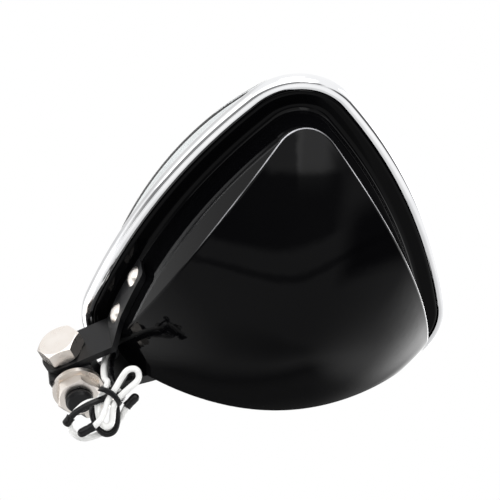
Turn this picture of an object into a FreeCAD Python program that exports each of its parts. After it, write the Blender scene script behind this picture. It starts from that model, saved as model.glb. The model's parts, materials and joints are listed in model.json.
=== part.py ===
import FreeCAD, Part
import math
import os

# Three-sided motorcycle headlight, millimetres.
# Lamp frame while modelling: origin on the optical axis in the plane of the lip's rear face,
# the lens faces -Y, the dome points to +Y, +Z is up and one corner points straight down.
# On export everything is moved so that the origin lies on the stud, where its free thread begins.

# Lip outline: a triangle of three bowed sides and three round corners
lip_tip_radius = 90.0
lip_corner_radius = 26.0
side_radius = 260.0

# Pressed shell
sheet = 1.2
flange_width = 9.3
rim_depth = 5.4
flange_root_radius = 3.0
lip_edge_radius = 2.0
crease_radius = 1.6

# Dome profile, a curve from the crown to its base: depths, and insets from the lip's corners
dome_depth = 66.0
dome_crown_pull = 18.5
dome_shoulder_inset = 15.0
dome_shoulder_depth = 31.4
dome_base_inset = 4.0
dome_base_depth = 8.0

# Trim ring
ring_proud = 4.7
ring_front = 10.0
ring_rear = 0.4
ring_lip_width = 8.5
ring_nose_radius = 5.0
ring_heel_radius = 3.6
ring_mouth_radius = 1.0
ring_slack = 0.3

# Glass lens
lens_thickness = 3.0
lens_rise = 45.0
lens_radius = 165.0
lens_edge_radius = 4.5
lens_flange_slack = 0.4
lens_mouth_slack = 0.3

# Gasket and reflector behind the lens
gasket_thickness = 1.2
gasket_width = 6.0
reflector_sheet = 1.2
reflector_inset = 12.2
reflector_apex = 41.0
reflector_focus = 25.0
bulb_hole_radius = 17.0

# Halogen bulb and what holds it
bulb_glass_radius = 8.5
bulb_glass_reach = 50.0
bulb_cap_length = 11.0
bulb_cap_wall = 0.4
bulb_neck_radius = 11.0
bulb_flange_radius = 20.0
bulb_flange_thickness = 1.2
bulb_barrel_length = 6.0
blade_width = 7.8
blade_thickness = 0.8
blade_length = 8.0
blade_spread = 7.0
blade_drop = 1.0
clip_wire_radius = 0.7
clip_ring_radius = 15.5
plug_radius = 12.5
plug_length = 8.4
plug_edge_radius = 1.0
plug_slot_slack = 0.2
boot_wall = 1.6
small_gap = 0.2

# Bracket straps
strap_thickness = 3.0
strap_width = 22.0
strap_gap = 0.1
lug_outer_x = 12.0
wing_length = 31.8
wing_front = 3.4
wing_tip_rear = 16.4
wing_root_along = 6.0
wing_root_rear = 19.6
wing_corner_radius = 2.0

# Rivets, placed along the wall from where its side begins
rivet_shank_radius = 3.0
rivet_head_radius = 4.8
rivet_head_height = 2.0
rivet_tail_radius = 4.2
rivet_tail_height = 1.4
rivet_clearance = 0.1
rivet_tail_slack = 0.1
rivet_low_along = 5.0
rivet_low_back = 11.5
rivet_high_along = 24.3
rivet_high_back = 9.0

# Pivot: bolt through the lugs and the eye between them
pivot_back = 15.5
pivot_below_lip = 12.5
thread_radius = 6.0
hex_across = 18.0
hex_chamfer = 1.6
bolt_head_height = 7.5
bolt_end_proud = 2.5
thread_chamfer = 0.8
lug_hole_clearance = 0.1
eye_hole_clearance = 0.05
eye_side_clearance = 0.15
eye_radius = 10.4
eye_seat_back = 28.4
eye_edge = 0.8
pivot_nut_height = 10.0

# Stud that the eye ends in, with its washer and nut
washer_radius = 11.6
washer_thickness = 2.2
washer_hole_clearance = 0.3
nut_height = 5.5
nut_clearance = 0.05
stud_free_length = 3.6
stud_groove_width = 0.6
stud_groove_depth = 0.5

# Grommet under the bottom corner's wall, with an elbow spout that turns the leads to the rear
grommet_back = 9.2
grommet_hole_radius = 3.8
grommet_flange_radius = 5.0
grommet_flange_thickness = 1.6
grommet_elbow_drop = 2.5
grommet_spout_radius = 3.5
grommet_spout_length = 6.0
grommet_spout_slope = 20.0
grommet_slack = 0.1

# Leads: their routes are lists of points chosen by hand, as offsets from the middle of the spout's end
lead_diameter = 2.8
white_lead_route = [
    (1.5, 0.1, -0.9), (2.3, 4.3, -1.9), (3.5, 9.1, -2.3), (4.7, 13.9, -2.4),
    (5.9, 18.7, -2.3), (6.9, 23.1, -1.9), (7.7, 26.4, -1.0), (8.3, 28.6, 0.0)]
second_white_lead_route = [
    (-1.5, -0.1, -1.3), (-0.8, 4.2, -2.2), (0.4, 9.1, -2.6), (1.6, 13.9, -2.5),
    (2.8, 18.7, -2.2), (3.4, 23.3, -1.7), (3.0, 27.2, -0.4), (2.6, 31.3, 2.9)]
black_lead_route = [
    (0.0, 1.0, 1.6), (0.8, 4.8, 0.6), (2.0, 9.4, 0.3), (3.2, 14.2, 0.3),
    (4.4, 18.9, 0.5), (5.3, 23.2, 0.9), (5.6, 27.0, 1.4), (5.7, 29.8, 2.0)]

# Leads inside the shell: offsets from the plug's rear face, then from the grommet's inner face
inner_sleeve_radius = 1.5
inner_leads_start = [(0.0, -3.8, -14.4), (0.0, -8.6, -25.0), (0.0, -21.6, -36.5)]
inner_leads_end = [
    (0.0, 9.4, 25.5), (0.0, 4.7, 17.9), (0.0, 1.6, 11.6), (0.0, 0.2, 6.2), (0.0, 0.0, 0.9)]

# Hank: flat bundle of folded lead about its tie, from the spout's end.
# Places in it are along its length, across it and out from its middle plane
hank_offset = (7.1, 37.35, -0.05)
hank_along = (-0.336, 0.366, -0.868)
hank_across = (-0.744, 0.462, 0.483)
hank_thickness = 9.6
hank_waist = 4.9
upper_loop_along = -12.6
upper_loop_across = 1.9
upper_loop_radius = 5.0
lower_loop_along = 14.3
lower_loop_across = 0.7
lower_loop_radius = 10.4
tie_width = 4.5
tie_wall = 1.0
tie_slack = 0.1

# Sleeved ends of the leads: along, across and height above the hank's middle, start and end
end_radius = 2.0
end_places = [
    ((-0.6, 8.3, 0.0), (-5.8, 8.9, 0.0)),
    ((14.1, 2.4, 7.0), (19.4, 0.0, 7.0)),
    ((17.0, -7.9, 7.0), (20.4, -7.8, 7.0)),
]

# Worked out from the sizes above
corner_distance = lip_tip_radius - lip_corner_radius
third_turn = 120.0
bottom_corner = -90.0
corner_angles = (bottom_corner, bottom_corner + third_turn, bottom_corner - third_turn)
pivot_drop = lip_tip_radius + pivot_below_lip
side_back = math.sqrt((side_radius - lip_corner_radius) ** 2 - 0.75 * corner_distance ** 2)
side_back = side_back - 0.5 * corner_distance
wall_offset = -flange_width
inner_wall_offset = wall_offset - sheet
stack_rear = -sheet
gasket_rear = stack_rear - reflector_sheet
lens_rear = gasket_rear - gasket_thickness
ring_seat = lens_rear - lens_thickness - small_gap
lens_offset = -ring_lip_width + ring_proud - lens_mouth_slack
lug_inner_x = lug_outer_x - strap_thickness
eye_half_width = lug_inner_x - eye_side_clearance
washer_back = eye_seat_back + washer_thickness
nut_back = washer_back + nut_height
stud_end_back = nut_back + stud_free_length
grommet_inner_seat = -2 * sheet
grommet_inner_face = grommet_inner_seat - grommet_flange_thickness
free_thread_back = nut_back + stud_groove_width
frame_origin = FreeCAD.Vector(0, free_thread_back, -pivot_drop)
X_AXIS = FreeCAD.Vector(1, 0, 0)
Y_AXIS = FreeCAD.Vector(0, 1, 0)
CENTRE = FreeCAD.Vector(0, 0, 0)


def at_angle(distance, degrees, y=0.0):
    """Point at a distance from the optical axis, in the plane at depth y."""
    turn = math.radians(degrees)
    return FreeCAD.Vector(distance * math.cos(turn), y, distance * math.sin(turn))


def tangent_point(corner, side_turn, offset, y):
    """Where a corner's arc meets the side whose arc centre lies side_turn degrees round."""
    corner_centre = at_angle(corner_distance, corner, y)
    side_centre = at_angle(side_back, corner + side_turn, y)
    outwards = (corner_centre - side_centre).normalize()
    return corner_centre + outwards * (lip_corner_radius + offset)


def outline(offset, y):
    """The lip's rounded triangle, moved outwards by offset, as a closed wire at depth y."""
    edges = []
    for index, corner in enumerate(corner_angles):
        following = corner_angles[(index + 1) % len(corner_angles)]
        start = tangent_point(corner, third_turn, offset, y)
        tip = at_angle(lip_tip_radius + offset, corner, y)
        end = tangent_point(corner, -third_turn, offset, y)
        middle = at_angle(side_radius - side_back + offset, corner + 0.5 * third_turn, y)
        next_start = tangent_point(following, third_turn, offset, y)
        edges.append(Part.Arc(start, tip, end).toShape())
        edges.append(Part.Arc(end, middle, next_start).toShape())
    return Part.Wire(edges)


def prism(offset, front, back):
    """Block with the lip's outline, moved outwards by offset, from depth front to depth back."""
    return Part.Face(outline(offset, front)).extrude(FreeCAD.Vector(0, back - front, 0))


def turned(points, axis_point=CENTRE, axis=Y_AXIS, closing=()):
    """Solid turned about an axis from straight runs between points, after any curved edges."""
    edges = list(closing)
    for start, end in zip(points, points[1:]):
        edges.append(Part.LineSegment(start, end).toShape())
    return Part.Face(Part.Wire(edges)).revolve(axis_point, axis, 360)


def rod(radius, start, end):
    """Round bar between two points."""
    along = end - start
    return Part.makeCylinder(radius, along.Length, start, along)


def dome_curve(thinner):
    """Profile of the dome in the plane x = 0, drawn on the lower side, thinner by a wall."""
    crown = FreeCAD.Vector(0, dome_depth - thinner, 0)
    pull = FreeCAD.Vector(0, dome_depth - thinner, -dome_crown_pull)
    rim = thinner - lip_tip_radius
    shoulder = FreeCAD.Vector(0, dome_shoulder_depth - thinner, rim + dome_shoulder_inset)
    base = FreeCAD.Vector(0, dome_base_depth - thinner, rim + dome_base_inset)
    curve = Part.BezierCurve()
    curve.setPoles([crown, pull, shoulder, base])
    return curve


def dome(thinner):
    """Everything inside the dome's turned surface, with a straight skirt to the front."""
    curve = dome_curve(thinner)
    base = curve.value(1.0)
    skirt = FreeCAD.Vector(0, -lens_rise, base.z)
    front = FreeCAD.Vector(0, -lens_rise, 0)
    return turned([base, skirt, front, curve.value(0.0)], closing=[curve.toShape()])


def shell_form(offset, thinner, front):
    """Walls closed at the back by the dome."""
    return prism(offset, front, dome_depth + sheet).common(dome(thinner))


def curved_edges(shape, front, back):
    """Edges of a shape that follow the outline, with depths between front and back."""
    found = []
    for edge in shape.Edges:
        box = edge.BoundBox
        inside = box.YMin > front and box.YMax < back
        if inside and not edge.Degenerated and box.XLength > small_gap:
            found.append(edge)
    return found


def outline_edges(shape, offset, y):
    """Arcs of the outline at this offset and depth on a shape."""
    radii = (lip_corner_radius + offset, side_radius + offset)
    found = []
    for edge in curved_edges(shape, y - small_gap, y + small_gap):
        if min(abs(edge.Curve.Radius - radius) for radius in radii) < small_gap:
            found.append(edge)
    return found


def wall_frame(along, outward):
    """Point and outward direction on the right wall near the bottom corner, at y = 0."""
    side_centre = at_angle(side_back, bottom_corner - third_turn)
    start = tangent_point(bottom_corner, -third_turn, wall_offset, 0.0) - side_centre
    turn = math.atan2(start.z, start.x) + along / (side_radius + wall_offset)
    direction = FreeCAD.Vector(math.cos(turn), 0, math.sin(turn))
    return side_centre + direction * (side_radius + wall_offset + outward), direction


def mirrored(shape):
    """The same shape on the other side of the lamp's middle plane."""
    return shape.mirror(CENTRE, X_AXIS)


def grommet_point(height, aside=0.0):
    """Point of the grommet, at a height outside the corner's wall and a distance from its axis."""
    on_axis = at_angle(lip_tip_radius + wall_offset + height, bottom_corner, grommet_back)
    return on_axis + X_AXIS * aside


def spout_end():
    """Middle of the spout's end face, where the leads come out."""
    slope = math.radians(grommet_spout_slope)
    run = FreeCAD.Vector(0, math.cos(slope), -math.sin(slope))
    return grommet_point(grommet_elbow_drop) + run * grommet_spout_length


def from_point(start, offsets):
    """Points at these offsets from a start."""
    return [start + FreeCAD.Vector(*offset) for offset in offsets]


def rivet_places():
    """Outer strap surface point and direction of each rivet on the right wing."""
    places = []
    rows = ((rivet_low_along, rivet_low_back), (rivet_high_along, rivet_high_back))
    for along, back in rows:
        point, direction = wall_frame(along, strap_gap + strap_thickness)
        places.append((point + Y_AXIS * back, direction))
    return places


def rivet_holes(clearance):
    """Bars through strap and wall at every rivet on both sides."""
    bars = []
    for point, direction in rivet_places():
        reach = strap_thickness + strap_gap + sheet + rivet_tail_height
        bar = rod(rivet_shank_radius + clearance, point - direction * reach, point)
        bars.append(bar)
        bars.append(mirrored(bar))
    return bars


def headlight_shell():
    """Pressed shell: rim, flange, bowed walls and turned dome in one sheet."""
    body = shell_form(wall_offset, 0.0, -rim_depth)
    crease = curved_edges(body, dome_base_depth, dome_depth)
    body = body.makeFillet(crease_radius, crease)
    body = body.fuse(prism(0.0, -rim_depth, 0.0)).removeSplitter()
    body = body.makeFillet(flange_root_radius, outline_edges(body, wall_offset, 0.0))
    body = body.makeFillet(lip_edge_radius, outline_edges(body, 0.0, 0.0))
    body = body.cut(prism(-sheet, -rim_depth, stack_rear))
    body = body.cut(shell_form(inner_wall_offset, sheet, -rim_depth))
    hole = rod(grommet_hole_radius + grommet_slack, grommet_point(grommet_inner_seat), grommet_point(sheet))
    body = body.cut(hole)
    return body.cut(rivet_holes(rivet_clearance))


def trim_ring():
    """Chrome bead, rounded in front and behind, with a pocket for lip and lens."""
    ring = prism(ring_proud, -ring_front, -ring_rear)
    ring = ring.makeFillet(ring_nose_radius, outline_edges(ring, ring_proud, -ring_front))
    ring = ring.makeFillet(ring_heel_radius, outline_edges(ring, ring_proud, -ring_rear))
    ring = ring.cut(prism(ring_proud - ring_lip_width, -ring_front, -ring_rear))
    ring = ring.cut(prism(ring_slack, ring_seat, -ring_rear))
    mouth = outline_edges(ring, ring_proud - ring_lip_width, -ring_front)
    return ring.makeFillet(ring_mouth_radius, mouth)


def lens():
    """Convex glass: a ball's cap with flat bowed sides, and a flange behind the ring."""
    ball_centre = FreeCAD.Vector(0, lens_radius - lens_rise, 0)
    outer = prism(lens_offset, -lens_rise, lens_rear).common(Part.makeSphere(lens_radius, ball_centre))
    outer = outer.makeFillet(lens_edge_radius, curved_edges(outer, -lens_rise, ring_seat))
    flange = prism(-sheet - lens_flange_slack, lens_rear - lens_thickness, lens_rear)
    inner = prism(lens_offset - lens_thickness, -lens_rise, lens_rear)
    inner = inner.common(Part.makeSphere(lens_radius - lens_thickness, ball_centre))
    inner = inner.makeFillet(lens_edge_radius - lens_thickness, curved_edges(inner, -lens_rise, ring_seat))
    return outer.fuse(flange).cut(inner)


def lens_gasket():
    """Flat rubber frame between the lens and the reflector's flange."""
    outer = -sheet - lens_flange_slack
    return prism(outer, lens_rear, gasket_rear).cut(prism(outer - gasket_width, lens_rear, gasket_rear))


def parabola(apex):
    """Everything in front of a parabolic bowl with its apex at this depth."""
    reach = lip_tip_radius
    rim_back = apex - reach ** 2 / (4.0 * reflector_focus)
    curve = Part.BezierCurve()
    middle = FreeCAD.Vector(0, apex, -0.5 * reach)
    rim = FreeCAD.Vector(0, rim_back, -reach)
    curve.setPoles([FreeCAD.Vector(0, apex, 0), middle, rim])
    front = FreeCAD.Vector(0, rim_back, 0)
    return turned([rim, front, FreeCAD.Vector(0, apex, 0)], closing=[curve.toShape()])


def bowl_depth(radius):
    """Depth of the reflector's bright side at a radius."""
    return reflector_apex - radius ** 2 / (4.0 * reflector_focus)


def reflector():
    """Bright parabolic bowl with bowed sides, a flange on the shell's and a hole for the bulb."""
    outer = prism(-reflector_inset, gasket_rear, reflector_apex + reflector_sheet)
    outer = outer.common(parabola(reflector_apex + reflector_sheet))
    inner = prism(-reflector_inset - reflector_sheet, gasket_rear, reflector_apex)
    inner = inner.common(parabola(reflector_apex))
    flange = prism(-sheet - lens_flange_slack, gasket_rear, stack_rear)
    hole = rod(bulb_hole_radius, CENTRE, Y_AXIS * (reflector_apex + 2 * reflector_sheet))
    return outer.fuse(flange).cut(inner).cut(hole)


# The bulb's flange sits on the back of the reflector, round its hole
bulb_seat = bowl_depth(bulb_hole_radius) + reflector_sheet
bulb_flange_rear = bulb_seat + bulb_flange_thickness
barrel_rear = bulb_flange_rear + bulb_barrel_length
bulb_tip = bulb_seat - bulb_glass_reach


def profile(rows):
    """Points in the plane x = 0 from pairs of radius and depth."""
    return [FreeCAD.Vector(0, depth, -radius) for radius, depth in rows]


def bulb_glass():
    """Glass envelope with a domed tip, standing in the bulb's neck."""
    tip = FreeCAD.Vector(0, bulb_tip, 0)
    shoulder = FreeCAD.Vector(0, bulb_tip + bulb_glass_radius, 0)
    bar = rod(bulb_glass_radius, shoulder, Y_AXIS * bulb_seat)
    return bar.fuse(Part.makeSphere(bulb_glass_radius, tip + Y_AXIS * bulb_glass_radius)).removeSplitter()


def bulb_cap():
    """Dark cap over the tip of the glass, which stops light going straight out."""
    outer_radius = bulb_glass_radius + small_gap + bulb_cap_wall
    centre = FreeCAD.Vector(0, bulb_tip + bulb_glass_radius, 0)
    rim = centre + Y_AXIS * (bulb_cap_length - bulb_glass_radius)
    outer = rod(outer_radius, centre, rim).fuse(Part.makeSphere(outer_radius, centre))
    inner_radius = bulb_glass_radius + small_gap
    inner = rod(inner_radius, centre, rim).fuse(Part.makeSphere(inner_radius, centre))
    front = rod(outer_radius, centre - Y_AXIS * outer_radius, rim)
    return outer.common(front).cut(inner)


def bulb_base():
    """Metal base: neck round the glass, locating flange and barrel behind it."""
    rows = [(0, bulb_seat), (bulb_neck_radius, bulb_seat)]
    rows += [(bulb_flange_radius, bulb_seat), (bulb_flange_radius, bulb_flange_rear)]
    rows += [(bulb_neck_radius, bulb_flange_rear), (bulb_neck_radius, barrel_rear)]
    rows += [(0, barrel_rear), (0, bulb_seat)]
    return turned(profile(rows))


def blade_places():
    """Middle of each blade on the barrel's rear face, and whether it stands upright."""
    return ((0.0, blade_spread, False), (-blade_spread, -blade_drop, True), (blade_spread, -blade_drop, True))


def blades(slack, length):
    """Three contact blades, widened by slack on every side."""
    made = []
    for x, z, upright in blade_places():
        width = blade_thickness if upright else blade_width
        height = blade_width if upright else blade_thickness
        corner = FreeCAD.Vector(x - width / 2 - slack, barrel_rear, z - height / 2 - slack)
        made.append(Part.makeBox(width + 2 * slack, length, height + 2 * slack, corner))
    return made


def bulb_plug():
    """Moulded plug pushed over the blades, a little off the barrel."""
    front = barrel_rear + small_gap
    body = rod(plug_radius, Y_AXIS * front, Y_AXIS * (front + plug_length))
    body = body.makeFillet(plug_edge_radius, [edge for edge in body.Edges if edge.BoundBox.YMin > front])
    return body.cut(blades(plug_slot_slack, blade_length + plug_slot_slack))


def bulb_clip():
    """Spring wire ring that presses the bulb's flange on to the reflector."""
    back = bulb_flange_rear + clip_wire_radius
    return Part.makeTorus(clip_ring_radius, clip_wire_radius, Y_AXIS * back, Y_AXIS)


def bulb_boot():
    """Rubber dust boot from the reflector's back to the bulb's barrel."""
    inner = bulb_neck_radius + small_gap
    skirt = bulb_flange_radius + small_gap
    front = bowl_depth(skirt) + reflector_sheet + small_gap
    step = bulb_flange_rear + 2 * clip_wire_radius + small_gap
    rows = [(skirt, front), (skirt + boot_wall, front), (skirt + boot_wall, step + boot_wall)]
    rows += [(inner + boot_wall, step + boot_wall), (inner + boot_wall, barrel_rear), (inner, barrel_rear)]
    rows += [(inner, step), (skirt, step), (skirt, front)]
    return turned(profile(rows))


def bracket_right():
    """Strap folded at the neck: a lug for the pivot below, a wing on the shell's wall above."""
    inner_start, direction = wall_frame(0.0, strap_gap)
    up = FreeCAD.Vector(-direction.z, 0, direction.x)
    lug_foot = -pivot_drop - strap_width
    run = (lug_inner_x - inner_start.x) / up.x
    bend = inner_start + up * run
    tip_inner, tip_direction = wall_frame(wing_length, strap_gap)
    mid_inner = wall_frame(0.5 * wing_length, strap_gap)[0]
    run_outer = (lug_outer_x - (inner_start + direction * strap_thickness).x) / up.x
    bend_outer = inner_start + direction * strap_thickness + up * run_outer
    tip_outer = tip_inner + tip_direction * strap_thickness
    mid_outer = wall_frame(0.5 * wing_length, strap_gap + strap_thickness)[0]
    start_outer = inner_start + direction * strap_thickness
    foot_inner = FreeCAD.Vector(lug_inner_x, 0, lug_foot)
    foot_outer = FreeCAD.Vector(lug_outer_x, 0, lug_foot)
    edges = [Part.LineSegment(foot_inner, bend).toShape(), Part.LineSegment(bend, inner_start).toShape()]
    edges.append(Part.Arc(inner_start, mid_inner, tip_inner).toShape())
    edges.append(Part.LineSegment(tip_inner, tip_outer).toShape())
    edges.append(Part.Arc(tip_outer, mid_outer, start_outer).toShape())
    edges.append(Part.LineSegment(start_outer, bend_outer).toShape())
    edges.append(Part.LineSegment(bend_outer, foot_outer).toShape())
    edges.append(Part.LineSegment(foot_outer, foot_inner).toShape())
    strap = Part.Face(Part.Wire(edges)).extrude(Y_AXIS * (pivot_back + strap_width))
    root = wall_frame(wing_root_along, strap_gap)[0]
    strap = strap.common(strap_blank(bend.z, root.z, tip_outer.z))
    pivot_hole = rod(thread_radius + lug_hole_clearance, pivot_at(0), pivot_at(2 * lug_outer_x))
    return strap.cut(pivot_hole).cut(rivet_holes(rivet_clearance)[::2])


def strap_blank(neck, root, tip):
    """The strap's outline seen from the side: round lug, straight neck, narrower wing."""
    half = 0.5 * strap_width
    front = pivot_back - half
    back = pivot_back + half
    corners = [(back, -pivot_drop), (back, neck), (wing_root_rear, root), (wing_tip_rear, tip)]
    corners += [(wing_front, tip), (wing_front, root), (front, neck), (front, -pivot_drop)]
    points = [FreeCAD.Vector(0, y, z) for y, z in corners]
    edges = []
    for start, end in zip(points, points[1:]):
        edges.append(Part.LineSegment(start, end).toShape())
    bottom = FreeCAD.Vector(0, pivot_back, -pivot_drop - half)
    edges.append(Part.Arc(points[-1], bottom, points[0]).toShape())
    blank = Part.Face(Part.Wire(edges)).extrude(X_AXIS * lip_tip_radius)
    rounded = []
    for edge in blank.Edges:
        box = edge.BoundBox
        if box.XLength > half and box.ZMax > neck + small_gap:
            rounded.append(edge)
    return blank.makeFillet(wing_corner_radius, rounded)


def pivot_at(x):
    """Point on the pivot's axis."""
    return FreeCAD.Vector(x, pivot_back, -pivot_drop)


def hexagon(start, along, height):
    """Hexagon bar from start in the direction along, with both its ends turned to a chamfer."""
    corner = hex_across / math.sqrt(3.0)
    side = FreeCAD.Vector(0, 0, 1)
    across = along.cross(side)
    points = []
    for index in range(7):
        turn = math.radians(60.0 * index)
        points.append(start + side * (corner * math.cos(turn)) + across * (corner * math.sin(turn)))
    bar = Part.Face(Part.makePolygon(points)).extrude(along * height)
    rise = (corner - 0.5 * hex_across) * math.tan(math.radians(30.0)) + 0.1 * hex_chamfer
    rows = [(0, 0), (corner - hex_chamfer, 0), (corner, rise), (corner, height - rise)]
    rows += [(corner - hex_chamfer, height), (0, height), (0, 0)]
    blank = turned([start + side * r + along * h for r, h in rows], start, along)
    return bar.common(blank)


def threaded_bar(start, end):
    """Plain bar of the thread's size with its far end chamfered."""
    bar = rod(thread_radius, start, end)
    tip = [edge for edge in bar.Edges if (edge.BoundBox.Center - end).Length < thread_chamfer]
    return bar.makeChamfer(thread_chamfer, tip)


def pivot_bolt():
    """Hex bolt from the right lug to past the nut on the left."""
    head = hexagon(pivot_at(lug_outer_x), X_AXIS, bolt_head_height)
    end = pivot_at(-lug_outer_x - pivot_nut_height - bolt_end_proud)
    return head.fuse(threaded_bar(pivot_at(lug_outer_x), end))


def pivot_nut():
    """Full nut on the bolt's left end."""
    blank = hexagon(pivot_at(-lug_outer_x - pivot_nut_height), X_AXIS, pivot_nut_height)
    return blank.cut(rod(thread_radius + nut_clearance, pivot_at(-2 * strap_width), pivot_at(0)))


def stud_at(y):
    """Point on the stud's axis."""
    return FreeCAD.Vector(0, y, -pivot_drop)


def pivot_eye():
    """Forged eye between the lugs, squared behind as a seat, ending in the threaded stud."""
    front = FreeCAD.Vector(-eye_half_width, pivot_back - eye_radius, -pivot_drop)
    top = FreeCAD.Vector(-eye_half_width, pivot_back, -pivot_drop + eye_radius)
    bottom = FreeCAD.Vector(-eye_half_width, pivot_back, -pivot_drop - eye_radius)
    seat_top = FreeCAD.Vector(-eye_half_width, eye_seat_back, -pivot_drop + eye_radius)
    seat_bottom = FreeCAD.Vector(-eye_half_width, eye_seat_back, -pivot_drop - eye_radius)
    edges = [Part.Arc(top, front, bottom).toShape()]
    for start, end in ((bottom, seat_bottom), (seat_bottom, seat_top), (seat_top, top)):
        edges.append(Part.LineSegment(start, end).toShape())
    eye = Part.Face(Part.Wire(edges)).extrude(X_AXIS * (2 * eye_half_width))
    eye = eye.makeChamfer(eye_edge, eye.Edges)
    hole = rod(thread_radius + eye_hole_clearance, pivot_at(-lug_outer_x), pivot_at(lug_outer_x))
    stud = threaded_bar(stud_at(pivot_back + eye_radius), stud_at(stud_end_back))
    core = rod(thread_radius - stud_groove_depth, stud_at(nut_back), stud_at(free_thread_back))
    groove = rod(thread_radius + stud_groove_depth, stud_at(nut_back), stud_at(free_thread_back)).cut(core)
    return eye.fuse(stud).cut(hole).cut(groove)


def stud_washer():
    """Flat washer against the eye's seat."""
    disc = rod(washer_radius, stud_at(eye_seat_back), stud_at(washer_back))
    return disc.cut(rod(thread_radius + washer_hole_clearance, stud_at(0), stud_at(stud_end_back)))


def stud_nut():
    """Thin nut on the stud."""
    blank = hexagon(stud_at(washer_back), Y_AXIS, nut_height)
    return blank.cut(rod(thread_radius + nut_clearance, stud_at(0), stud_at(stud_end_back)))


def bracket_rivets():
    """Four rivets, each with a low round head outside and a flat tail inside."""
    made = []
    ball = (rivet_head_radius ** 2 + rivet_head_height ** 2) / (2 * rivet_head_height)
    grip = strap_thickness + strap_gap + sheet + rivet_tail_slack
    for point, direction in rivet_places():
        cap = Part.makeSphere(ball, point + direction * (rivet_head_height - ball))
        head = cap.common(rod(rivet_head_radius, point, point + direction * rivet_head_height))
        shank = rod(rivet_shank_radius, point - direction * grip, point)
        tail_start = point - direction * (grip + rivet_tail_height)
        tail = rod(rivet_tail_radius, tail_start, point - direction * grip)
        rivet = head.fuse([shank, tail]).removeSplitter()
        made.append(rivet)
        made.append(mirrored(rivet))
    return Part.makeCompound(made)


def lead_grommet():
    """Rubber grommet gripping the shell's hole, with an elbow spout for the leads."""
    seat = 2 * small_gap
    rows = [(0, grommet_inner_face), (grommet_flange_radius, grommet_inner_face)]
    rows += [(grommet_flange_radius, grommet_inner_seat), (grommet_hole_radius, grommet_inner_seat)]
    rows += [(grommet_hole_radius, seat), (grommet_flange_radius, seat)]
    rows += [(grommet_flange_radius, seat + grommet_flange_thickness)]
    rows += [(0, seat + grommet_flange_thickness), (0, grommet_inner_face)]
    elbow = grommet_point(grommet_elbow_drop)
    middle = grommet_point(0.0)
    disc = turned([grommet_point(h, r) for r, h in rows], middle, elbow - middle)
    spout = rod(grommet_spout_radius, elbow, spout_end())
    bend = Part.makeSphere(grommet_spout_radius, elbow)
    return disc.fuse([bend, spout]).removeSplitter()


def arc_bend(before, corner, after):
    """Start, middle and end of the tangent arc at a corner of a route, and its radius."""
    into = (corner - before).normalize()
    out = (after - corner).normalize()
    turn = into.getAngle(out)
    setback = 0.45 * min((corner - before).Length, (after - corner).Length)
    radius = setback / math.tan(0.5 * turn)
    start = corner - into * setback
    end = corner + out * setback
    inwards = (out - into).normalize()
    centre = corner + inwards * math.hypot(radius, setback)
    middle = centre - inwards * radius
    return start, middle, end, radius


def tube(name, points, radius):
    """Round lead along straight runs joined by arcs as large as the runs allow."""
    edges = []
    last = points[0]
    radii = []
    for before, corner, after in zip(points, points[1:], points[2:]):
        start, middle, end, bend = arc_bend(before, corner, after)
        edges.append(Part.LineSegment(last, start).toShape())
        edges.append(Part.Arc(start, middle, end).toShape())
        radii.append(bend)
        last = end
    edges.append(Part.LineSegment(last, points[-1]).toShape())
    path = Part.Wire(edges)
    section = Part.Wire(Part.makeCircle(radius, points[0], points[1] - points[0]))
    made = path.makePipeShell([section], True, True)
    share = made.Volume / (math.pi * radius ** 2 * path.Length)
    rounded = [round(bend, 1) for bend in radii]
    print(name, "radii", rounded, "length", round(path.Length, 1), "volume", round(share, 4))
    return made


def outer_lead(name, offsets):
    """Lead from the grommet's spout to the hank."""
    return tube(name, from_point(spout_end(), offsets), lead_diameter / 2)


def inner_leads():
    """Sleeved leads inside the shell, from the plug to the grommet."""
    plug_rear = Y_AXIS * (barrel_rear + small_gap + plug_length)
    route = from_point(plug_rear, inner_leads_start)
    route += from_point(grommet_point(grommet_inner_face), inner_leads_end)
    return tube("inner_leads", route, inner_sleeve_radius)


# The hank's own directions, made exactly square to each other
along_direction = FreeCAD.Vector(*hank_along).normalize()
facing_direction = along_direction.cross(FreeCAD.Vector(*hank_across)).normalize()
across_direction = facing_direction.cross(along_direction)
hank_middle = spout_end() + FreeCAD.Vector(*hank_offset)


def hank_point(along, across, height):
    """Point of the hank, from distances along its length, across it and out from its middle."""
    flat = along_direction * along + across_direction * across
    return hank_middle + flat + facing_direction * height


def hank_block(rows, low, high):
    """Straight sided block over corners given along and across the hank."""
    points = [hank_point(along, across, low) for along, across in rows]
    return Part.Face(Part.makePolygon(points + points[:1])).extrude(facing_direction * (high - low))


def loop_arc(along, across, radius, outward, height):
    """Half circle round a loop's end, bulging away from the tie."""
    start = hank_point(along, across + radius, height)
    tip = hank_point(along + outward * radius, across, height)
    return start, tip, hank_point(along, across - radius, height)


def lead_hank():
    """Outer shape of the folded leads: two round loops with a waist where the tie goes."""
    low = -0.5 * hank_thickness
    half = 0.5 * tie_width
    upper = loop_arc(upper_loop_along, upper_loop_across, upper_loop_radius, -1, low)
    lower = loop_arc(lower_loop_along, lower_loop_across, lower_loop_radius, 1, low)
    left = [hank_point(-half, hank_waist, low), hank_point(half, hank_waist, low)]
    right = [hank_point(half, -hank_waist, low), hank_point(-half, -hank_waist, low)]
    edges = [Part.Arc(*upper).toShape(), Part.Arc(*lower).toShape()]
    for run in ((upper[0], left[0], left[1], lower[0]), (lower[2], right[0], right[1], upper[2])):
        for start, end in zip(run, run[1:]):
            edges.append(Part.LineSegment(start, end).toShape())
    face = Part.Face(Part.Wire(Part.__sortEdges__(edges)))
    return face.extrude(facing_direction * hank_thickness)


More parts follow.
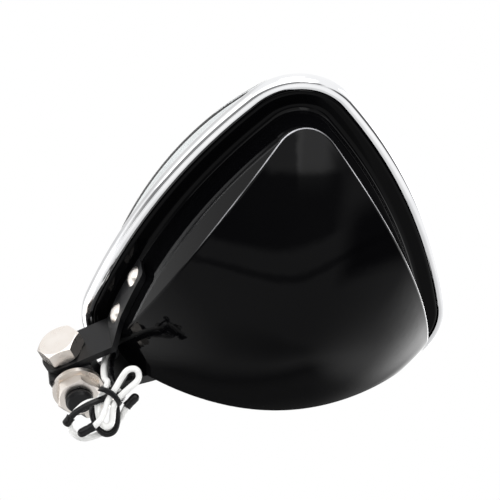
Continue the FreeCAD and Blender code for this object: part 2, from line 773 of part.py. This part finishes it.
def lead_tie():
    """Band round the hank's waist."""
    half = 0.5 * tie_width
    inside = hank_waist + tie_slack
    height = 0.5 * hank_thickness + tie_slack
    outside = inside + tie_wall
    rows = [(-half, -outside), (half, -outside), (half, outside), (-half, outside)]
    hole = [(-half, -inside), (half, -inside), (half, inside), (-half, inside)]
    band = hank_block(rows, -height - tie_wall, height + tie_wall)
    return band.cut(hank_block(hole, -height, height))


def lead_ends():
    """Sleeved ends of the three leads, each a short bar with a rounded tip."""
    made = []
    for start, end in end_places:
        bar = rod(end_radius, hank_point(*start), hank_point(*end))
        made.append(bar.fuse(Part.makeSphere(end_radius, hank_point(*end))).removeSplitter())
    return Part.makeCompound(made)


NODES = {
    "headlight_shell": headlight_shell,
    "trim_ring": trim_ring,
    "lens": lens,
    "lens_gasket": lens_gasket,
    "reflector": reflector,
    "bulb_glass": bulb_glass,
    "bulb_cap": bulb_cap,
    "bulb_base": bulb_base,
    "bulb_blades": lambda: Part.makeCompound(blades(0.0, blade_length)),
    "bulb_clip": bulb_clip,
    "bulb_plug": bulb_plug,
    "bulb_boot": bulb_boot,
    "bracket_right": bracket_right,
    "bracket_left": lambda: mirrored(bracket_right()),
    "bracket_rivets": bracket_rivets,
    "pivot_bolt": pivot_bolt,
    "pivot_nut": pivot_nut,
    "pivot_eye": pivot_eye,
    "stud_washer": stud_washer,
    "stud_nut": stud_nut,
    "lead_grommet": lead_grommet,
    "white_lead": lambda: outer_lead("white_lead", white_lead_route),
    "second_white_lead": lambda: outer_lead("second_white_lead", second_white_lead_route),
    "black_lead": lambda: outer_lead("black_lead", black_lead_route),
    "lead_hank": lead_hank,
    "lead_tie": lead_tie,
    "lead_ends": lead_ends,
    "inner_leads": inner_leads,
}

os.makedirs("parts", exist_ok=True)
for node, make in NODES.items():
    shape = make()
    shape.translate(frame_origin.negative())
    print(node, "valid", shape.isValid(), "solids", len(shape.Solids), "volume", round(shape.Volume, 1))
    shape.exportStep("parts/" + node + ".step")
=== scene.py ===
import json
import bpy
import numpy as np
from mathutils import Matrix, Vector


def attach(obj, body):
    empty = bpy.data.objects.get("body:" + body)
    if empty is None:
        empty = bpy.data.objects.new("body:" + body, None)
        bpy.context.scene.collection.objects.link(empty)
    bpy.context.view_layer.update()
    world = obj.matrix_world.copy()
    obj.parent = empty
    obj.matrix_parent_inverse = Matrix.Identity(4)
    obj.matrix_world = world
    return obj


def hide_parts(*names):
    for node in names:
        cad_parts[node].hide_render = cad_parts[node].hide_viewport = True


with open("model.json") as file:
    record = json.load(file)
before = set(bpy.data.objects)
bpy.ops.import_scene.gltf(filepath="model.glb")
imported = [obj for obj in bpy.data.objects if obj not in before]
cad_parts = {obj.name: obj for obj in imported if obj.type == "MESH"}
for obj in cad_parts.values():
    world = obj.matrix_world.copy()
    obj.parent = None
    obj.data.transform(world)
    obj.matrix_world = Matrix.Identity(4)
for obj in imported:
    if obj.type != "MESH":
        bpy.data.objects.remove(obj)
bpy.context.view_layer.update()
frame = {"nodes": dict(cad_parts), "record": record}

# Three-sided motorcycle headlight: finishes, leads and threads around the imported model. Lengths on
# the object are millimetres in the row frame, whose origin lies on the stud. The floor and the
# lamps are given in metres.
scene = bpy.context.scene
MM = 0.001
FULL_TURN = 2.0 * np.pi
# Sockets of a Mix node by number: its share, its two values, its two colours and the colour it gives
SHARE, VALUE_A, VALUE_B, COLOUR_A, COLOUR_B = 0, 2, 3, 6, 7
MIXED_COLOUR = 2

# The camera of the photograph, turned so that the lamp's bottom corner points to the left
camera_data = bpy.data.cameras.new("photo_camera")
camera_data.sensor_width = 36.0
camera_data.lens = 144.0
camera = bpy.data.objects.new("photo_camera", camera_data)
scene.collection.objects.link(camera)
camera_right = Vector((-0.3854, 0.1438, 0.9115))
camera_up = Vector((0.7195, -0.5716, 0.3944))
camera_ahead = Vector((-0.5778, -0.8078, -0.1168))
camera_place = Vector((533.2, 692.3, 199.5)) * MM
camera_axes = Matrix((camera_right, camera_up, -camera_ahead)).transposed()
camera.matrix_world = Matrix.Translation(camera_place) @ camera_axes.to_4x4()
scene.camera = camera


def linear(code):
    """Linear colour of an sRGB hex code: each channel undone by the sRGB curve."""
    channels = np.array([int(code[i:i + 2], 16) for i in (1, 3, 5)]) / 255.0
    steep = ((channels + 0.055) / 1.055) ** 2.4
    curve = np.where(channels <= 0.04045, channels / 12.92, steep)
    return (float(curve[0]), float(curve[1]), float(curve[2]), 1.0)


def add(tree, kind, sockets=None, **settings):
    """Adds one node. Settings are its own properties; sockets are input values or links."""
    made = tree.nodes.new(kind)
    for name, value in settings.items():
        setattr(made, name, value)
    for name, value in (sockets or {}).items():
        if isinstance(value, bpy.types.NodeSocket):
            tree.links.new(value, made.inputs[name])
        else:
            made.inputs[name].default_value = value
    return made


def finish(name, tones, patch_mm, roughness, tooth_mm, tooth_depth_mm, **sockets):
    """One finish: noise in patches of patch_mm goes between two tones and two roughnesses, and finer
    noise of tooth_mm lifts the surface by tooth_depth_mm. Other shader sockets are set as given."""
    noise_low, noise_high = 0.3, 0.7
    made = bpy.data.materials.new(name)
    made.use_nodes = True
    tree = made.node_tree
    tree.nodes.clear()
    place = add(tree, "ShaderNodeTexCoord").outputs["Object"]
    patches = add(tree, "ShaderNodeTexNoise", {
        "Vector": place, "Scale": 1.0 / (patch_mm * MM), "Detail": 3.0}).outputs["Fac"]
    share = add(tree, "ShaderNodeMapRange", {
        "Value": patches, "From Min": noise_low, "From Max": noise_high}).outputs["Result"]
    colour = add(tree, "ShaderNodeMix", {
        SHARE: share, COLOUR_A: linear(tones[0]), COLOUR_B: linear(tones[1])}, data_type="RGBA")
    rough = add(tree, "ShaderNodeMapRange", {
        "Value": patches, "From Min": noise_low, "From Max": noise_high,
        "To Min": roughness[0], "To Max": roughness[1]})
    tooth = add(tree, "ShaderNodeTexNoise", {
        "Vector": place, "Scale": 1.0 / (tooth_mm * MM), "Detail": 2.0})
    lifted = add(tree, "ShaderNodeBump", {
        "Height": tooth.outputs["Fac"], "Distance": tooth_depth_mm * MM})
    coat = add(tree, "ShaderNodeBsdfPrincipled", {
        "Base Color": colour.outputs[MIXED_COLOUR], "Roughness": rough.outputs["Result"],
        "Normal": lifted.outputs["Normal"]})
    for key, value in sockets.items():
        coat.inputs[key.replace("_", " ")].default_value = value
    add(tree, "ShaderNodeOutputMaterial", {"Surface": coat.outputs["BSDF"]})
    return made


finishes = {
    # Gloss stoving enamel on pressed steel: near black, mirror clear, with a faint orange peel.
    # The low IOR is matched to how faintly the photographed enamel mirrors its surroundings
    "black_enamel": finish(
        "black_stoving_enamel", tones=("#030304", "#060607"), patch_mm=60.0,
        roughness=(0.035, 0.06), tooth_mm=3.5, tooth_depth_mm=0.004, IOR=1.165),
    # Powder coat on the straps and eye: soft sheen over a fine pebble
    "satin_black": finish(
        "satin_powder_coat", tones=("#0c0c0d", "#131315"), patch_mm=8.0,
        roughness=(0.3, 0.42), tooth_mm=0.9, tooth_depth_mm=0.02, IOR=1.33),
    # Chromium plate on the trim ring: white mirror with a very slight ripple from polishing
    "chrome_trim": finish(
        "chromium_plate", tones=("#eaebed", "#f6f6f7"), patch_mm=20.0,
        roughness=(0.02, 0.06), tooth_mm=9.0, tooth_depth_mm=0.008, Metallic=1.0),
    # Pressed clear glass of the lens: colourless, with faint ripples from the mould
    "lens_glass": finish(
        "pressed_clear_glass", tones=("#f3f6f7", "#f8fafa"), patch_mm=30.0,
        roughness=(0.01, 0.03), tooth_mm=14.0, tooth_depth_mm=0.02,
        IOR=1.5, Transmission_Weight=1.0),
    # Fused quartz of the bulb: clear, slightly wavy where it was drawn
    "bulb_quartz": finish(
        "fused_quartz", tones=("#f5f7f9", "#fafbfc"), patch_mm=8.0,
        roughness=(0.0, 0.02), tooth_mm=6.0, tooth_depth_mm=0.01,
        IOR=1.46, Transmission_Weight=1.0),
    # Vapour plated aluminium inside the reflector: bright mirror
    "reflector_bright": finish(
        "vapour_plated_aluminium", tones=("#e2e2e0", "#eeeeec"), patch_mm=15.0,
        roughness=(0.05, 0.09), tooth_mm=12.0, tooth_depth_mm=0.004, Metallic=1.0),
    # Heat proof black on the bulb's tip: matt and dusty
    "dark_cap": finish(
        "heat_proof_matt_black", tones=("#26262a", "#323236"), patch_mm=2.0,
        roughness=(0.55, 0.7), tooth_mm=0.5, tooth_depth_mm=0.01),
    # Bright zinc plate on bolt, nuts, washer and rivets: pale, a little warm, slightly cloudy
    "plated_steel": finish(
        "bright_zinc_plate", tones=("#ebe3db", "#f4eee8"), patch_mm=9.0,
        roughness=(0.24, 0.32), tooth_mm=3.0, tooth_depth_mm=0.003, Metallic=1.0),
    # Moulded rubber of gasket and boot: matt, with fine tooth from the mould
    "black_rubber": finish(
        "moulded_black_rubber", tones=("#131313", "#1c1c1c"), patch_mm=5.0,
        roughness=(0.55, 0.68), tooth_mm=0.6, tooth_depth_mm=0.02),
    # Moulded rubber of the grommet: the same, a little greyer
    "grey_rubber": finish(
        "moulded_grey_rubber", tones=("#1c1c1e", "#28282a"), patch_mm=3.0,
        roughness=(0.5, 0.62), tooth_mm=0.7, tooth_depth_mm=0.02),
    # Moulded phenolic plug: hard, dull black
    "moulded_black": finish(
        "moulded_phenolic", tones=("#1a1a1a", "#242424"), patch_mm=4.0,
        roughness=(0.36, 0.46), tooth_mm=0.8, tooth_depth_mm=0.01),
    # Extruded vinyl on the white leads: soft gloss, faintly uneven from the die
    "white_sleeve": finish(
        "white_vinyl_sleeve", tones=("#e4e4e2", "#f4f4f2"), patch_mm=4.0,
        roughness=(0.3, 0.42), tooth_mm=1.2, tooth_depth_mm=0.02),
    # Extruded vinyl on the black lead, its tie and the crimp sleeves: a little glossier
    "black_sleeve": finish(
        "black_vinyl_sleeve", tones=("#080809", "#0f0f11"), patch_mm=4.0,
        roughness=(0.22, 0.34), tooth_mm=1.2, tooth_depth_mm=0.02, IOR=1.33),
}


def paint_crease_highlight(enamel):
    """Paints a pale highlight into the enamel's colour along the pressed crease, by a product of
    ramps. The surface turns there from the walls, whose normals have no share along Y, to the dome,
    whose share is over 0.42. The painted highlight is strongest towards the upper side, where the
    light falls, and slow noise breaks it up."""
    # Pale tone of the painted crease highlight
    crease_highlight_tone = linear("#d4d4d8")
    noise_mm = 24.0
    tree = enamel.node_tree
    coat = next(made for made in tree.nodes if made.type == "BSDF_PRINCIPLED")
    place = add(tree, "ShaderNodeTexCoord")
    facing = add(tree, "ShaderNodeSeparateXYZ", {0: place.outputs["Normal"]}).outputs["Y"]
    row = add(tree, "ShaderNodeSeparateXYZ", {0: place.outputs["Object"]})
    slow = add(tree, "ShaderNodeTexNoise", {
        "Vector": place.outputs["Object"], "Scale": 1.0 / (noise_mm * MM), "Detail": 1.0})
    ramps = [
        # Past the walls, and short of the dome
        (facing, 0.08, 0.18, 1.0), (facing, 0.42, 0.34, 1.0),
        # Behind the flange's root, and more towards the upper side, where the painted highlight is
        # brightest
        (row.outputs["Y"], -31.0 * MM, -30.0 * MM, 1.0),
        (row.outputs["Z"], 70.0 * MM, 130.0 * MM, 1.0),
        # In and out with the noise, and never at full strength
        (slow.outputs["Fac"], 0.3, 0.6, 0.9),
    ]
    share = None
    for value, start, end, most in ramps:
        ramp = add(tree, "ShaderNodeMapRange", {
            "Value": value, "From Min": start, "From Max": end, "To Max": most}).outputs["Result"]
        share = ramp if share is None else add(tree, "ShaderNodeMath", {
            0: share, 1: ramp}, operation="MULTIPLY").outputs[0]
    # The painted highlight is mixed over the enamel's own colour
    plain = coat.inputs["Base Color"].links[0].from_socket
    crease_highlight_mix = add(tree, "ShaderNodeMix", {
        SHARE: share, COLOUR_A: plain, COLOUR_B: crease_highlight_tone}, data_type="RGBA")
    tree.links.new(crease_highlight_mix.outputs[MIXED_COLOUR], coat.inputs["Base Color"])


# Painted highlight along the crease, mixed into the enamel's colour
paint_crease_highlight(finishes["black_enamel"])
for subpart in frame["record"]["subparts"]:
    carried = frame["nodes"][subpart["node"]]
    carried.data.materials.clear()
    carried.data.materials.append(finishes[subpart["material_slot"]])

# Leads: the routes of the solids as offsets from the spout's end, then the turns of the hank as
# distances along it, across it and out from its middle
spout_end = np.array([0.0, -21.862, 17.248])
hank_middle = np.array([7.1, 15.488, 17.198])
hank_axes = np.array([
    [-0.336, 0.3659, -0.8679], [-0.744, 0.462, 0.4828], [0.5776, 0.8079, 0.117]])
lead_diameter = 2.8
white_route = [
    (1.5, 0.1, -0.9), (2.3, 4.3, -1.9), (3.5, 9.1, -2.3), (4.7, 13.9, -2.4),
    (5.9, 18.7, -2.3), (6.9, 23.1, -1.9), (7.7, 26.4, -1.0), (8.3, 28.6, 0.0)]
white_turns = [
    (-2.5, -4.2, -4.6), (0.8, -3.4, -3.0), (3.4, -3.2, -0.8), (5.8, -2.6, 1.6), (8.4, -0.2, 3.2),
    (11.2, 2.8, 3.4), (12.2, 6.2, 3.4), (9.6, 8.2, 3.4), (6.0, 6.0, 3.4), (2.4, 3.6, 3.4),
    (-2.4, 3.3, 3.4), (-8.6, 4.6, 3.3), (-13.8, 5.6, 3.3), (-16.8, 2.2, 3.3), (-14.2, -1.2, 3.3),
    (-9.0, -1.0, 3.3), (-2.6, 0.0, 3.3), (2.6, 0.4, 3.4), (6.2, 2.0, 4.4), (9.2, 2.8, 6.2),
    (12.0, 2.8, 7.0), (14.1, 2.4, 7.0)]
second_route = [
    (-1.5, -0.1, -1.3), (-0.8, 4.2, -2.2), (0.4, 9.1, -2.6), (1.6, 13.9, -2.5),
    (2.8, 18.7, -2.2), (3.4, 23.3, -1.7), (3.0, 27.2, -0.4), (2.6, 31.3, 2.9)]
second_turns = [
    (-2.8, 4.9, -4.8), (0.8, 4.2, -3.6), (3.0, 1.6, -4.3), (4.8, -1.2, -5.9), (6.8, -4.4, -6.5),
    (9.6, -6.8, -5.0), (13.7, -7.8, -3.2), (18.5, -8.0, -2.5), (22.8, -5.0, -2.0),
    (23.3, 1.0, -2.0), (19.0, 5.0, -2.6), (12.0, 8.8, -3.3), (6.0, 9.4, -3.0), (2.0, 8.9, -1.0),
    (-0.6, 8.3, 0.0)]
black_route = [
    (0.0, 1.0, 1.6), (0.8, 4.8, 0.6), (2.0, 9.4, 0.3), (3.2, 14.2, 0.3),
    (4.4, 18.9, 0.5), (5.3, 23.2, 0.9), (5.6, 27.0, 1.4), (5.7, 29.8, 2.0)]
black_turns = [
    (-2.6, -0.9, -4.4), (1.2, -0.6, -3.2), (4.4, -2.6, -3.3), (7.8, -4.0, -2.6),
    (11.4, -1.8, -0.8), (14.2, 3.2, 0.6), (15.2, 8.2, 0.8), (11.6, 11.0, 0.8), (7.0, 9.4, 0.6),
    (3.8, 6.4, 0.2), (1.0, 4.0, 0.0), (-2.4, 3.2, 0.0), (-8.8, 3.8, 0.0), (-12.4, 4.8, 0.0),
    (-14.8, 2.0, 0.0), (-12.4, -0.8, 0.0), (-8.4, -0.4, 0.0), (-2.6, -0.1, 0.0),
    (0.6, -0.6, 0.4), (2.8, -1.8, 2.2), (5.2, -3.4, 4.4), (8.6, -5.4, 5.6), (12.2, -6.9, 6.4),
    (15.0, -7.8, 6.9), (17.0, -7.9, 7.0)]


def in_hank(places):
    """Row places of points given along the hank, across it and out from its middle."""
    return hank_middle + np.asarray(places) @ hank_axes


def lead(name, route, turns, slot):
    """One lead: a NURBS line by its route's points and the hank's turns, with a round section."""
    points = np.concatenate([spout_end + np.array(route), in_hank(turns)]) * MM
    data = bpy.data.curves.new(name, "CURVE")
    data.dimensions = "3D"
    data.bevel_depth = 0.5 * lead_diameter * MM
    data.bevel_resolution = 5
    data.resolution_u = 10
    data.use_fill_caps = True
    spline = data.splines.new("NURBS")
    spline.points.add(len(points) - 1)
    spline.points.foreach_set("co", np.c_[points, np.ones(len(points))].ravel())
    spline.order_u = 3
    spline.use_endpoint_u = True
    data.materials.append(finishes[slot])
    made = bpy.data.objects.new(name, data)
    scene.collection.objects.link(made)
    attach(made, "lamp")
    return made, tuple(float(v) for v in points[0])


def grid_piece(name, points, slot, body, wrap_rows=False):
    """Mesh over a grid of points, rows by places round: quads between neighbours, closed round each
    row, and either closed from the last row to the first or ended with a fan to the middle of each
    end row."""
    rows, around, _ = points.shape
    index = np.arange(rows * around).reshape(rows, around)
    after = np.roll(index, -1, axis=1)
    low = np.arange(rows if wrap_rows else rows - 1)
    high = (low + 1) % rows
    quads = np.stack([index[low], after[low], after[high], index[high]], axis=-1)
    faces = quads.reshape(-1, 4).tolist()
    vertices = points.reshape(-1, 3)
    if not wrap_rows:
        poles = points[[0, -1]].mean(axis=1)
        vertices = np.concatenate([vertices, poles])
        first_pole = rows * around
        faces += np.c_[after[0], index[0], np.full(around, first_pole)].tolist()
        faces += np.c_[index[-1], after[-1], np.full(around, first_pole + 1)].tolist()
    mesh = bpy.data.meshes.new(name)
    mesh.from_pydata((vertices * MM).tolist(), [], faces)
    mesh.polygons.foreach_set("use_smooth", np.ones(len(faces), dtype=bool))
    mesh.materials.append(finishes[slot])
    made = bpy.data.objects.new(name, mesh)
    scene.collection.objects.link(made)
    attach(made, body)
    return made


def rounded(angle, half_width, half_height, squareness):
    """Superellipse: the angle's cosine and sine raised to 2 / squareness, with their signs kept."""
    power = 2.0 / squareness
    wide = half_width * np.sign(np.cos(angle)) * np.abs(np.cos(angle)) ** power
    tall = half_height * np.sign(np.sin(angle)) * np.abs(np.sin(angle)) ** power
    return wide, tall


def sleeve(name, start, end, radius, slot):
    """Crimp sleeve: circles along a line, their radius flared at the mouth by a falling exponential,
    waisted at the crimp by a bell curve and rounded off at the tip by a quarter ellipse."""
    flare, flare_share = 0.08, 0.06
    waist, waist_place, waist_share = 0.05, 0.45, 0.12
    tip_share, tip_most = 0.36, 0.995
    first, last = in_hank([start, end])
    ahead = (last - first) / np.linalg.norm(last - first)
    side = np.cross(ahead, hank_axes[2])
    side = side / np.linalg.norm(side)
    over = np.cross(ahead, side)
    tip_angle = np.linspace(0.0, 0.5 * np.pi, 9)[1:]
    along = np.r_[np.linspace(0.0, 1.0, 14), 1.0 + tip_share * np.sin(tip_angle)]
    mouth = flare * np.exp(-along / flare_share)
    crimp = waist * np.exp(-((along - waist_place) / waist_share) ** 2)
    tip = np.sqrt(1.0 - np.clip((along - 1.0) / tip_share, 0.0, tip_most) ** 2)
    radii = radius * (1.0 + mouth - crimp) * tip
    turn = np.linspace(0.0, FULL_TURN, 28, endpoint=False)
    circle = np.cos(turn)[:, None] * side + np.sin(turn)[:, None] * over
    line = first + along[:, None] * (last - first)
    rings = line[:, None, :] + radii[:, None, None] * circle[None, :, :]
    return grid_piece(name, rings, slot, "lamp")


def band(name, half_across, half_height, half_width, wall, bow, slot):
    """Tie: a small rounded section carried round a superellipse about the hank's waist, and bowed
    along the hank by a parabola across it."""
    section_squareness, loop_squareness = 3.0, 5.0
    turn = np.linspace(0.0, FULL_TURN, 120, endpoint=False)
    spin = np.linspace(0.0, FULL_TURN, 20, endpoint=False)
    along, out = rounded(spin, half_width, 0.5 * wall, section_squareness)
    across, height = rounded(
        turn[:, None], half_across + out[None, :], half_height + out[None, :], loop_squareness)
    along = along[None, :] - bow * (1.0 - (across / half_across) ** 2)
    loops = in_hank(np.stack([along, across, height], axis=-1))
    return grid_piece(name, loops, slot, "lamp", wrap_rows=True)


def thread(name, start, end, crest, slot, body):
    """Screw thread: circles along a line, whose radius rises from below the bar's surface to the
    crest and falls again once each pitch, one pitch later for each turn round, and fades at both
    ends."""
    pitch, depth, run_out = 1.75, 0.6, 0.3
    first, last = np.array(start), np.array(end)
    length = np.linalg.norm(last - first)
    ahead = (last - first) / length
    side = np.cross(ahead, (0.0, 0.0, 1.0))
    over = np.cross(ahead, side)
    along = np.linspace(0.0, length, 64)
    turn = np.linspace(0.0, FULL_TURN, 96, endpoint=False)
    ridge = 0.5 + 0.5 * np.cos(FULL_TURN * along[:, None] / pitch - turn[None, :])
    fade = np.clip(np.minimum(along, length - along) / run_out, 0.0, 1.0)
    radius = crest - depth + depth * fade[:, None] * ridge
    circle = np.cos(turn)[:, None] * side + np.sin(turn)[:, None] * over
    line = first + along[:, None] * ahead
    rings = line[:, None, :] + radius[:, :, None] * circle[None, :, :]
    return grid_piece(name, rings, slot, body)


# Threads on the free ends of the stud, behind its nut, and of the pivot bolt, past its nut
thread_crest = 6.3
thread("stud_thread", (0.0, 0.05, 0.0), (0.0, 2.3, 0.0), thread_crest, "satin_black", "mount")
thread("bolt_thread", (-22.05, -21.2, 0.0), (-23.8, -21.2, 0.0), thread_crest,
       "plated_steel", "lamp")

# Each lead ends in a crimp sleeve, and one tie holds the hank
sleeve_radius = 2.0
white_sleeve_end = sleeve(
    "white_cord_sleeve", white_turns[-1], (19.4, 0.0, 7.0), sleeve_radius, "black_sleeve")
second_sleeve_end = sleeve(
    "second_cord_sleeve", second_turns[-1], (-5.8, 8.9, 0.0), sleeve_radius, "black_sleeve")
black_sleeve_end = sleeve(
    "black_cord_sleeve", black_turns[-1], (20.4, -7.8, 7.0), sleeve_radius, "black_sleeve")
hank_band = band("hank_band", half_across=5.5, half_height=5.4, half_width=1.25, wall=1.1, bow=1.6,
                 slot="black_sleeve")
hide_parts("lead_ends")
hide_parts("lead_tie")

white_cord, white_exit = lead("white_cord", white_route, white_turns, "white_sleeve")
second_cord, second_exit = lead("second_white_cord", second_route, second_turns, "white_sleeve")
black_cord, black_exit = lead("black_cord", black_route, black_turns, "black_sleeve")
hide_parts("white_lead", "lead_hank")
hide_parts("second_white_lead")
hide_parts("black_lead")

# Studio: white surroundings, drawn by direction. Each row changes their level by a share, over a
# product of smooth ramps on headings of the camera
world = bpy.data.worlds.new("studio")
scene.world = world
world.use_nodes = True
tree = world.node_tree
tree.nodes.clear()
way = add(tree, "ShaderNodeTexCoord").outputs["Generated"]
headings = {
    "right": camera_right, "up": camera_up, "ahead": camera_ahead,
    # 40 degrees to the right of straight ahead
    "right wall": 0.643 * camera_right + 0.766 * camera_ahead,
    # Up, leaning a little to the left
    "opening": camera_up - 0.14 * camera_right,
}
along = {}
for name, heading in headings.items():
    dot = add(tree, "ShaderNodeVectorMath", {0: way, 1: heading}, operation="DOT_PRODUCT")
    along[name] = dot.outputs["Value"]
studio_parts = [
    # Dark opening round the camera
    (-0.76, [("ahead", 0.1, -0.25), ("opening", -0.18, -0.13), ("up", 0.26, 0.2),
             ("right", 0.75, 0.6)]),
    # Thin dark line below the opening
    (-0.6, [("ahead", 0.1, -0.25), ("opening", -0.32, -0.29), ("opening", -0.25, -0.28)]),
    # Unlit corner on the right
    (-0.9, [("right", 0.66, 0.84), ("up", -0.36, -0.24), ("up", 0.1, -0.05),
            ("ahead", 0.25, 0.0)]),
    # Paler sheet above the opening, and a bright panel on its right
    (0.7, [("ahead", -0.3, -0.5), ("up", 0.22, 0.28), ("right", 0.36, 0.28)]),
    (3.2, [("ahead", -0.3, -0.6), ("up", 0.08, 0.3), ("right", 0.28, 0.33),
           ("right", 0.64, 0.5)]),
    # Unlit gap below, behind the headlight, and its darkest part further back
    (-0.86, [("ahead", 0.15, 0.5), ("up", -0.12, -0.4), ("right", 0.62, 0.25)]),
    (-0.6, [("ahead", 0.5, 0.75), ("up", -0.1, -0.3), ("right", 0.42, 0.15)]),
    # Dimmer straight below, and a little more so to the left
    (-0.35, [("up", -0.7, -0.95)]),
    (-0.15, [("up", -0.6, -0.85), ("right", 0.0, -0.3)]),
    # Dimmer backdrop on the left
    (-0.3, [("ahead", 0.2, 0.6), ("right", -0.2, -0.5), ("up", -0.3, -0.1), ("up", 0.8, 0.6)]),
    # Bright soft wall on the right
    (3.5, [("right wall", 0.6, 0.97), ("up", -0.62, -0.38), ("up", 0.3, 0.0)]),
]
level = None
for change, ramps in studio_parts:
    share = None
    for heading, start, end in ramps:
        ramp = add(tree, "ShaderNodeMapRange", {
            "Value": along[heading], "From Min": start, "From Max": end},
            interpolation_type="SMOOTHSTEP").outputs["Result"]
        share = ramp if share is None else add(tree, "ShaderNodeMath", {
            0: share, 1: ramp}, operation="MULTIPLY").outputs[0]
    part = add(tree, "ShaderNodeMath", {
        0: share, 1: change, 2: 1.0}, operation="MULTIPLY_ADD").outputs[0]
    level = part if level is None else add(tree, "ShaderNodeMath", {
        0: level, 1: part}, operation="MULTIPLY").outputs[0]

# The camera, glass and what is mirrored straight behind the headlight see a plain white backdrop
room_level = 1.04
backdrop_edge, backdrop_full = 0.955, 0.99
backdrop = add(tree, "ShaderNodeMapRange", {
    "Value": along["ahead"], "From Min": backdrop_edge, "From Max": backdrop_full},
    interpolation_type="SMOOTHSTEP")
ray = add(tree, "ShaderNodeLightPath")
mirrored = add(tree, "ShaderNodeMath", {
    0: ray.outputs["Is Glossy Ray"], 1: backdrop.outputs["Result"]}, operation="MULTIPLY")
white_rays = add(tree, "ShaderNodeMath", {
    0: ray.outputs["Is Camera Ray"], 1: ray.outputs["Is Transmission Ray"]}, operation="MAXIMUM")
white_share = add(tree, "ShaderNodeMath", {
    0: white_rays.outputs[0], 1: mirrored.outputs[0]}, operation="MAXIMUM")
room = add(tree, "ShaderNodeMath", {0: level, 1: room_level}, operation="MULTIPLY")
sky = add(tree, "ShaderNodeMix", {
    SHARE: white_share.outputs[0], VALUE_A: room.outputs[0], VALUE_B: 1.0})
glow = add(tree, "ShaderNodeBackground", {"Color": sky.outputs[0], "Strength": 1.0})
add(tree, "ShaderNodeOutputWorld", {"Surface": glow.outputs["Background"]})

# White paper sweep below: matt, kept near white, and fading out before its edge
floor_half, floor_level = 0.6, -0.45
fade_start, fade_end = 0.12, 0.45
paper_glow = 0.3
floor_mesh = bpy.data.meshes.new("studio_floor")
floor_mesh.from_pydata([
    (-floor_half, -floor_half, floor_level), (floor_half, -floor_half, floor_level),
    (floor_half, floor_half, floor_level), (-floor_half, floor_half, floor_level)],
    [], [(0, 1, 2, 3)])
floor = bpy.data.objects.new("studio_floor", floor_mesh)
scene.collection.objects.link(floor)
paper = bpy.data.materials.new("white_paper_sweep")
paper.use_nodes = True
tree = paper.node_tree
tree.nodes.clear()
place = add(tree, "ShaderNodeTexCoord")
flat = add(tree, "ShaderNodeVectorMath", {
    0: place.outputs["Object"], 1: (1.0, 1.0, 0.0)}, operation="MULTIPLY")
far = add(tree, "ShaderNodeVectorMath", {0: flat.outputs["Vector"]}, operation="LENGTH")
fade = add(tree, "ShaderNodeMapRange", {
    "Value": far.outputs["Value"], "From Min": fade_start, "From Max": fade_end},
    interpolation_type="SMOOTHSTEP")
matt = add(tree, "ShaderNodeBsdfDiffuse", {"Color": linear("#f4f4f4")})
lit = add(tree, "ShaderNodeEmission", {"Color": linear("#ffffff"), "Strength": paper_glow})
sheet = add(tree, "ShaderNodeAddShader", {0: matt.outputs[0], 1: lit.outputs[0]})
clear = add(tree, "ShaderNodeBsdfTransparent")
sweep = add(tree, "ShaderNodeMixShader", {
    0: fade.outputs["Result"], 1: sheet.outputs[0], 2: clear.outputs[0]})
add(tree, "ShaderNodeOutputMaterial", {"Surface": sweep.outputs[0]})
floor_mesh.materials.append(paper)

# Lamps: soft boxes, all as far from the middle of the headlight
lamp_aim = Vector((0.0, -20.0, 90.0)) * MM
lamp_distance = 1.2


def soft_box(name, direction, width, height, power):
    """Rectangular lamp that faces the headlight from a direction given right, up and towards the
    camera."""
    right, up, near = direction
    away = camera_right * right + camera_up * up - camera_ahead * near
    away.normalize()
    data = bpy.data.lights.new(name, "AREA")
    data.shape = "RECTANGLE"
    data.size = width
    data.size_y = height
    data.energy = power
    made = bpy.data.objects.new(name, data)
    scene.collection.objects.link(made)
    turned = away.to_track_quat("Z", "Y").to_matrix().to_4x4()
    made.matrix_world = Matrix.Translation(lamp_aim + away * lamp_distance) @ turned


soft_box("top_box", (0.0, 0.96, 0.28), width=0.9, height=0.6, power=1.8)
soft_box("left_strip", (-0.87, 0.45, 0.15), width=0.4, height=0.5, power=1.0)
soft_box("right_strip", (0.88, 0.42, -0.2), width=0.4, height=0.7, power=1.4)

scene.view_settings.view_transform = "Standard"
